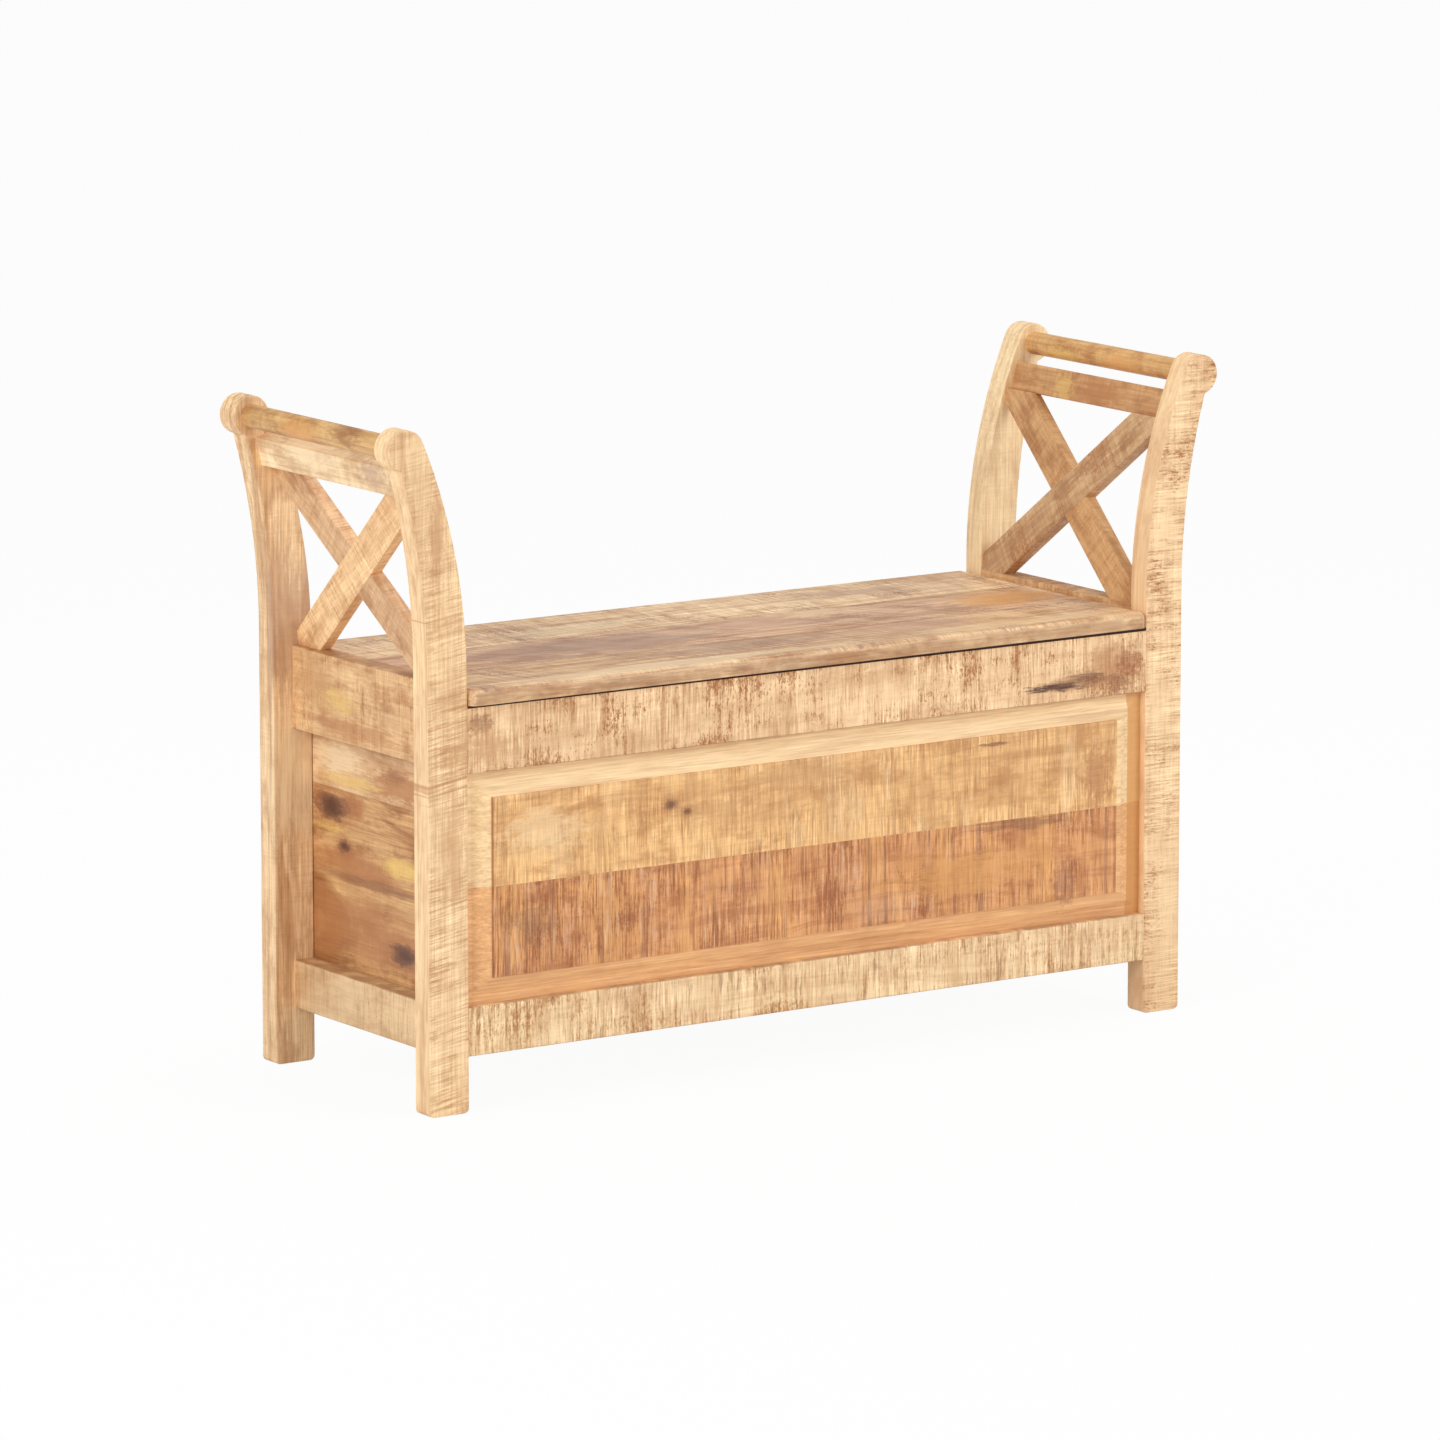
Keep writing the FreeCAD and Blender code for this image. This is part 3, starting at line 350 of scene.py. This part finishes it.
def dress(node, material):
    """Give a CAD piece its one material."""
    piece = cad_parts[node]
    piece.data.materials.clear()
    piece.data.materials.append(material)


def sawn_board(node, order, seed, tones, pith=(0.0, 0.06), rings=0.35, mottle=0.4, threads=1.0,
               tone=0.2, marks=0.3, specks=0.0, mark=RUST, dark=UMBER, face=None, turn=None,
               slant=0.0, stains=(), knots=(), bands=(), edges=0.0, gap=None, roughness=0.5):
    """Wood of a CAD piece.

    pith is where the growth rings' middle lies, across and through the board. A stain is its
    tone, its strength and its spot: place along and across, then half its length and width. A
    knot is a spot, and may end with a strength. Bands are what Plank.bands takes. gap paints a
    dark line of painted shadow from a height up, which falls along the board by a slope: the
    shade in the thin gap under the seat's nose. face is the sawn face. edges paints a broken
    dark line of painted shade along both edges of the board.
    """
    board = Plank(node + "_wood", order, seed, turn, roughness)
    board.figure(*tones, pith=pith, rings=rings, mottle=mottle, threads=threads)
    board.sawn(tone, marks, specks, mark, dark, None, slant,
               board.facing(face) if face else 1.0)
    for band in bands:
        board.bands(*band)
    for tint, strength, spot in stains:
        board.stain(tint, strength, *spot)
    for spot in knots:
        board.knot(*spot)
    # Painted shadow: a dark line on the sawn face where the seat's nose shades the thin gap above
    # the rail. It also deepens the bump there.
    if gap:
        start, growth = gap
        line = (board.across + board.along * growth).step(start, start + SHARP)
        line = line * board.facing(face)
        board.blend(SHADOW, line)
        board.cuts = board.cuts + line
    # Painted shade: broken dark lines along the board's two edges, where it meets its neighbours.
    if edges:
        low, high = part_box(node)
        axis = "xyz".index(order[1])
        board.edge_lines(low[axis], high[axis], edges)
    dress(node, board.done())


# Posts: fronts sawn, sides planed
sawn_board("post_front_left", "zxy", 1, shades(242, 204, 156), (-0.45, 0.1), threads=1.8,
           tone=0.8, marks=0.5, mark=BISCUIT, dark=RUST, face="-y", slant=-0.16,
           bands=((RUST, 0.6, 60, 1.2, 0.64, 0.7),), stains=(
               (RUST, 0.5, (0.63, -0.49, 0.05, 0.014)), (HONEY, 0.4, (0.7, -0.51, 0.05, 0.02)),
               (BISCUIT, 0.5, (0.3, -0.47, 0.1, 0.012))))
sawn_board("post_front_right", "zxy", 2, shades(247, 207, 160), (0.48, 0.1), threads=0.9,
           tone=0.8, marks=0.55, specks=0.6, face="-y", stains=(
               (HONEY, 0.5, (0.1, 0.48, 0.1, 0.03)),))
sawn_board("post_rear_left", "zyx", 3, shades(236, 198, 152, 1.1), (0.02, -0.4), rings=0.7,
           mottle=0.6, threads=2.4, tone=0.2, marks=0.0, stains=(
               (MAUVE, 0.6, (0.5, 0.15, 0.09, 0.012)), (CREAM, 0.5, (0.32, 0.14, 0.1, 0.02)),
               (TAN, 0.6, (0.68, 0.12, 0.05, 0.02)), (BISCUIT, 0.6, (0.2, 0.13, 0.14, 0.012))),
           knots=((0.722, 0.13, 0.008, 0.007),))
sawn_board("post_rear_right", "zxy", 4, shades(246, 214, 168), (0.5, 0.3), threads=1.4, tone=0.15,
           marks=0.0)

# Front rails
sawn_board("front_upper_rail", "xzy", 5, shades(240, 200, 154), (0.36, 0.0), threads=0.5,
           tone=1.0, marks=0.75, specks=1.1, face="-y", edges=0.7,
           # gap: painted shadow of the seat's nose along the rail's top edge
           gap=(0.44225, 0.0017), stains=(
               (UMBER, 0.6, (-0.436, 0.425, 0.02, 0.012)),
               (BISCUIT, 0.5, (-0.43, 0.4, 0.03, 0.03)),
               (RUST, 0.5, (0.4, 0.405, 0.035, 0.03)),
               (UMBER, 0.6, (0.36, 0.392, 0.06, 0.009)), (EMBER, 0.6, (0.43, 0.41, 0.02, 0.02)),
               (BARK, 0.95, (0.325, 0.389, 0.045, 0.006)),
               (KNOT_BROWN, 0.7, (0.37, 0.397, 0.03, 0.006)),
               (UMBER, 0.6, (0.415, 0.387, 0.02, 0.012))),
           bands=((RUST, 0.4, 110, 9, 0.56, 0.68),))
sawn_board("front_lower_rail", "xzy", 6, shades(245, 210, 164), (0.2, 0.0), threads=0.5,
           tone=1.1, marks=1.0, specks=0.6, mark=BISCUIT, dark=UMBER, face="-y", edges=0.6,
           bands=((TAN, 0.4, 75, 4), (UMBER, 0.5, 170, 22, 0.58, 0.68)))

# Front panel: sawn field, planed bevels and margin
FIELD_LEFT = -0.4203
FIELD_RIGHT = 0.414
FIELD_BASE = 0.1447
FIELD_TOP = 0.3433
# The painted shade line at the field's left edge reaches this far outside and inside it.
RIM_OUTSIDE = 0.001
RIM_INSIDE = 0.0006
# Right of this the margin takes a deeper orange: partly its own tone, partly painted shade of the
# recess beside the post.
MARGIN_START = 0.433
MARGIN_END = 1.0


def panel_board(node, seed, tones, bevel_tones, margin, tone, marks, mark, dark, light, stains,
                knots=(), bands=()):
    """A board of the front panel. Its middle is sawn and its border planed."""
    board = Plank(node + "_wood", "xzy", seed)
    field = board.inside(board.along, FIELD_LEFT, FIELD_RIGHT)
    field = field * board.inside(board.across, FIELD_BASE, FIELD_TOP)
    board.figure(*tones, pith=(0.27, -0.06), mottle=0.75, rings=0.6, threads=0.6, waves=1.8)
    for band in bands:
        board.bands(*band)
    sawn = board.body
    board.figure(*bevel_tones, pith=(0.27, -0.06), mottle=0.25, rings=0.4, threads=1.8)
    # The margin's deeper orange is partly its own tone and partly painted shade, the shade cast by
    # the post into the recess.
    board.blend(margin, board.inside(board.along, MARGIN_START, MARGIN_END) * 0.85)
    board.body = board.mix(board.body, sawn, field)
    # Painted shade: a dark line down the small step at the field's left edge, the shade on that
    # step.
    rim = board.inside(board.along, FIELD_LEFT - RIM_OUTSIDE, FIELD_LEFT + RIM_INSIDE)
    board.blend(UMBER, rim * board.inside(board.across, FIELD_BASE, FIELD_TOP) * 0.7)
    board.sawn(tone, marks, 0.2, mark, dark, light, 0.0, field)
    for tint, strength, spot in stains:
        board.stain(tint, strength, *spot)
    for spot in knots:
        board.knot(*spot, 0.55)
    dress(node, board.done())


panel_board("front_panel_upper", 7, shades(236, 186, 126), shades(247, 211, 160, 0.5),
            colour(222, 164, 98), 1.0, 0.5, BISCUIT, RUST, None, (
                (HONEY, 0.6, (-0.355, 0.3, 0.06, 0.028)),
                (BISCUIT, 0.6, (-0.02, 0.325, 0.09, 0.018)),
                (BISCUIT, 0.5, (-0.14, 0.3, 0.05, 0.014)),
                (UMBER, 0.9, (0.243, 0.333, 0.026, 0.0028)),
                (RUST, 0.7, (0.385, 0.285, 0.026, 0.04))),
            knots=((-0.191, 0.311, 0.009, 0.006), (-0.169, 0.301, 0.006, 0.004)),
            bands=((BISCUIT, 0.35, 45, 3), (HONEY, 0.35, 30, 9, 0.54, 0.66)))
panel_board("front_panel_lower", 8, shades(216, 152, 98), shades(236, 180, 124, 0.9),
            colour(212, 150, 86), 1.3, 0.7, EMBER, UMBER, FAWN, (
                (PLUM, 0.5, (0.34, 0.165, 0.02, 0.03)),
                (KNOT_BROWN, 0.5, (0.28, 0.239, 0.08, 0.008)),
                (KNOT_BROWN, 0.4, (-0.37, 0.2, 0.03, 0.03)),
                (FAWN, 0.2, (0.09, 0.165, 0.05, 0.02)), (AMBER, 0.6, (0.2, 0.19, 0.12, 0.03))),
            bands=((AMBER, 0.5, 26, 2, 0.48, 0.62), (PLUM, 0.6, 150, 3, 0.51, 0.66)))

# Ends of the box
WALL_RAGGED = 1.8
WALL_STAINS = (
    (RUST, 0.7, (0.05, 0.165, 0.15, 0.045)), (RUST, 0.85, (0.06, 0.232, 0.12, 0.022)),
    (UMBER, 0.7, (0.03, 0.218, 0.14, 0.008)), (YELLOW, 0.8, (-0.035, 0.245, 0.045, 0.014)),
    (YELLOW, 0.7, (0.11, 0.27, 0.045, 0.007)), (RUST, 0.8, (0.06, 0.3, 0.03, 0.018)),
)
WALL_KNOTS = ((0.108, 0.293, 0.034, 0.016, 0.95), (0.083, 0.252, 0.012, 0.008, 0.85),
              (-0.042, 0.15, 0.03, 0.013, 0.85))
for end, seed in (("left", 9), ("right", 12)):
    sawn_board("side_apron_" + end, "yzx", seed, shades(226, 182, 132), (0.4, 0.45), rings=0.6,
               mottle=0.9, threads=1.4, tone=0.4, marks=0.4, specks=0.4, edges=0.5, stains=(
                   (RUST, 0.6, (0.02, 0.392, 0.12, 0.014)),
                   (BISCUIT, 0.6, (0.11, 0.43, 0.04, 0.025)),
                   (YELLOW, 0.5, (0.05, 0.42, 0.04, 0.016))))
    sawn_board("side_rail_" + end, "yzx", seed + 1, shades(228, 192, 146), (0.2, 0.4), rings=0.5,
               mottle=0.5, threads=0.6, tone=0.5, marks=0.3, specks=0.2, edges=0.5)
    sawn_board("end_wall_%s_upper" % end, "yzx", seed + 2, shades(228, 188, 142), (0.3, 0.42),
               rings=0.7, mottle=0.7, threads=1.8, tone=0.2, marks=0.0, edges=0.4, stains=(
                   (CREAM, 0.6, (0.1, 0.35, 0.06, 0.02)),
                   (RUST, 0.8, (-0.04, 0.335, 0.075, 0.022)),
                   (UMBER, 0.5, (-0.02, 0.345, 0.03, 0.01)),
                   (YELLOW, 0.6, (0.07, 0.326, 0.07, 0.008))))
    wall = Plank("end_wall_%s_lower_wood" % end, "yzx", seed + 3)
    wall.figure(*shades(206, 158, 106, 1.3), pith=(0.15, 0.42), ring_pitch=0.005, rings=0.9,
                mottle=0.9, threads=2.8, waves=2.6)
    for tint, strength, spot in WALL_STAINS:
        wall.stain(tint, strength, *spot, WALL_RAGGED)
    for spot in WALL_KNOTS:
        wall.knot(*spot)
    wall.sawn(0.2)
    dress("end_wall_%s_lower" % end, wall.done())

# Seat
SEAT_STAINS = {
    "rear": ((MAUVE, 0.55, (0.26, 0.12, 0.1, 0.03)), (BISCUIT, 0.5, (0.36, 0.17, 0.12, 0.02)),
             (CREAM, 0.5, (-0.15, 0.09, 0.12, 0.03))),
    "middle": ((DUSK, 0.6, (-0.2, -0.01, 0.2, 0.06)), (ROSE, 0.55, (0.04, 0.01, 0.08, 0.05)),
               (AMBER, 0.75, (0.37, -0.01, 0.09, 0.05)), (CREAM, 0.5, (0.46, 0.03, 0.03, 0.05)),
               (HONEY, 0.6, (0.14, 0.03, 0.05, 0.03)), (RUST, 0.5, (0.0, -0.045, 0.2, 0.008))),
    "front": ((DUSK, 0.5, (-0.05, -0.1, 0.15, 0.03)), (ROSE, 0.5, (0.17, -0.1, 0.1, 0.03)),
              (CREAM, 0.5, (-0.2, -0.16, 0.3, 0.02)), (HONEY, 0.6, (0.3, -0.15, 0.2, 0.02)),
              (EMBER, 0.45, (0.1, -0.075, 0.25, 0.006))),
}
# Tones of each seat board, the slant of its saw marks and how blotched it is
SEAT_TONES = {
    "rear": (shades(240, 204, 160, 1.2), 0.0, 0.6),
    "middle": (shades(220, 178, 140, 1.3), 0.8, 0.8),
    "front": (shades(220, 180, 136, 1.3), 0.3, 0.7),
}
for seed, (title, (tones, slant, mottle)) in enumerate(SEAT_TONES.items(), start=20):
    sawn_board("seat_board_" + title, "xyz", seed, tones, (0.0, 0.5), rings=0.6, mottle=mottle,
               threads=2.2, tone=0.9, marks=0.5, specks=0.5, mark=DUSK, dark=GREY_BROWN,
               face="z", slant=slant, edges=0.4, roughness=0.42, stains=SEAT_STAINS[title])

# Hidden boards and the back
INSIDE = shades(222, 178, 128)
for seed, title in enumerate((
        "seat_batten_left", "seat_batten_right", "floor_bearer_left", "floor_bearer_middle",
        "floor_bearer_right"), start=30):
    sawn_board(title, "yxz", seed, INSIDE, tone=0.5, marks=0.3)
for seed, title in enumerate((
        "floor_board_front", "floor_board_middle", "floor_board_back"), start=36):
    sawn_board(title, "xyz", seed, INSIDE, tone=0.5, marks=0.3)
for seed, (title, tones) in enumerate((
        ("back_lower_rail", shades(234, 196, 148)), ("back_upper_rail", shades(230, 188, 138)),
        ("back_panel_lower", shades(212, 162, 110, 1.2)),
        ("back_panel_upper", shades(226, 184, 132, 1.2))), start=60):
    sawn_board(title, "xzy", seed, tones, (0.1, 0.0), rings=0.6, mottle=0.7, threads=1.2, tone=0.8,
               marks=0.5, specks=0.4, edges=0.4, bands=((BISCUIT, 0.4, 60, 3),))

# Armrest ends. Each bar's grain runs along it, at this many degrees.
BRACE_SLOPE = 38.5
# Round rail, cross rail, falling bar, rising bar
ARMREST_TONES = {
    "left": (shades(214, 170, 112, 1.2), shades(240, 208, 164), shades(244, 200, 148),
             shades(214, 170, 126, 1.2)),
    "right": (shades(220, 172, 112, 1.2), shades(206, 156, 106, 1.2), shades(206, 166, 122, 1.3),
              shades(212, 164, 112, 1.2)),
}
# Round rail, cross rail
ARMREST_STAINS = {
    "left": (((AMBER, 0.7, (0.03, 0.72, 0.05, 0.02)), (UMBER, 0.6, (-0.06, 0.735, 0.04, 0.012))),
             ((MAUVE, 0.6, (-0.09, 0.69, 0.03, 0.02)), (CREAM, 0.6, (0.04, 0.70, 0.06, 0.02)))),
    "right": (((AMBER, 0.7, (-0.03, 0.72, 0.05, 0.02)), (YELLOW, 0.6, (0.08, 0.72, 0.04, 0.012))),
              ((RUST, 0.7, (-0.02, 0.69, 0.05, 0.02)), (YELLOW, 0.5, (0.05, 0.69, 0.02, 0.02)))),
}
for end, seed in (("left", 40), ("right", 50)):
    round_tones, cross_tones, falling_tones, rising_tones = ARMREST_TONES[end]
    round_stains, cross_stains = ARMREST_STAINS[end]
    flecks = 0.9 if end == "right" else 0.2
    sawn_board("armrest_rail_" + end, "yzx", seed, round_tones, tone=0.3, marks=0.2,
               mottle=0.9, threads=1.6, stains=round_stains)
    sawn_board("cross_rail_" + end, "yzx", seed + 1, cross_tones, mottle=0.7, threads=1.4,
               tone=0.4, marks=0.2, stains=cross_stains)
    sawn_board("brace_falling_" + end, "yzx", seed + 2, falling_tones, mottle=0.7, threads=1.4,
               tone=0.5, marks=0.3, specks=flecks, dark=GREY_BROWN, turn=("X", BRACE_SLOPE))
    sawn_board("brace_rising_" + end, "yzx", seed + 3, rising_tones, mottle=0.8, threads=1.4,
               tone=0.4, marks=0.2, specks=flecks / 2, turn=("X", -BRACE_SLOPE))

# Metal
steel = metal("hinge_steel", colour(176, 176, 172), 0.3)
zinc = metal("zinc", colour(196, 190, 170), 0.32)
for side in ("left", "right"):
    dress("hinge_frame_leaf_" + side, steel)
    dress("hinge_lid_leaf_" + side, steel)
    dress("hinge_pin_" + side, steel)
for group in ("hinge_frame_screws", "hinge_lid_screws", "batten_screws", "floor_screws",
              "end_wall_screws"):
    dress(group, zinc)


# Floor, light and camera

FLOOR_SIZE = 80
PAPER = (0.86, 0.86, 0.86, 1.0)
FLOOR_GLOW = 0.95
SKY_STRENGTH = 0.46
LAMP_SIZE = 2.4
LAMP_AIM = (0, 0, 0.4)

bpy.ops.object.select_all(action="DESELECT")
bpy.ops.mesh.primitive_plane_add(size=FLOOR_SIZE, location=(0, 0, 0))
floor = bpy.context.object
floor.name = "floor"
paper = Finish("floor_paper", roughness=0.9)
paper.paint(Base_Color=PAPER)
seen = paper.add("ShaderNodeLightPath", {}, {}, output="Is Camera Ray")
path = seen.socket.node.outputs
mirrored = Signal(paper, path["Is Glossy Ray"]) + Signal(paper, path["Is Transmission Ray"])
glow = paper.add("ShaderNodeEmission", {}, {"Color": WHITE, "Strength": 1.0})
lit = Signal(paper, paper.shader.outputs[0])
blend = paper.add("ShaderNodeMixShader", {}, {
    0: ((seen + mirrored) * FLOOR_GLOW).clamp(), 1: lit, 2: glow})
paper.links.new(blend.socket, paper.nodes["Material Output"].inputs["Surface"])
floor.data.materials.append(paper.material)

world = bpy.data.worlds.new("studio")
bpy.context.scene.world = world
world.use_nodes = True
world_nodes = world.node_tree.nodes
sky = world_nodes["Background"]
sky.inputs["Color"].default_value = WHITE
sky.inputs["Strength"].default_value = SKY_STRENGTH
white = world_nodes.new("ShaderNodeBackground")
white.inputs["Color"].default_value = WHITE
ray = world_nodes.new("ShaderNodeLightPath")
choose = world_nodes.new("ShaderNodeMixShader")
world.node_tree.links.new(ray.outputs["Is Camera Ray"], choose.inputs[0])
world.node_tree.links.new(sky.outputs[0], choose.inputs[1])
world.node_tree.links.new(white.outputs[0], choose.inputs[2])
world.node_tree.links.new(choose.outputs[0], world_nodes["World Output"].inputs["Surface"])


def softbox(name, place, power):
    """A square lamp that faces the bench."""
    lamp = bpy.data.lights.new(name, "AREA")
    lamp.shape = "RECTANGLE"
    lamp.size = LAMP_SIZE
    lamp.size_y = LAMP_SIZE
    lamp.energy = power
    holder = bpy.data.objects.new(name, lamp)
    bpy.context.scene.collection.objects.link(holder)
    away = Vector(place) - Vector(LAMP_AIM)
    holder.location = place
    holder.rotation_euler = away.to_track_quat("Z", "Y").to_euler()


softbox("left_lamp", (-4.0, -1.4, 2.2), 90)
softbox("right_lamp", (2.6, -3.8, 2.4), 78)
softbox("top_lamp", (0.4, 0.4, 4.0), 44)

# The photograph's viewpoint: angles of the view, distance from the point aimed at, lens in mm
YAW = math.radians(33.984)
PITCH = math.radians(10.271)
DISTANCE = 9.593
AIM = (-0.009, 0.003, 0.3599)
LENS = 214.7
SENSOR = 36
FAR = 200
camera = bpy.data.objects.new("camera", bpy.data.cameras.new("camera"))
bpy.context.scene.collection.objects.link(camera)
camera.location = (
    AIM[0] - math.sin(YAW) * math.cos(PITCH) * DISTANCE,
    AIM[1] - math.cos(YAW) * math.cos(PITCH) * DISTANCE,
    AIM[2] + math.sin(PITCH) * DISTANCE,
)
camera.rotation_euler = (math.pi / 2 - PITCH, 0, -YAW)
camera.data.lens = LENS
camera.data.sensor_width = SENSOR
camera.data.clip_end = FAR
bpy.context.scene.camera = camera
bpy.context.scene.view_settings.view_transform = "Standard"
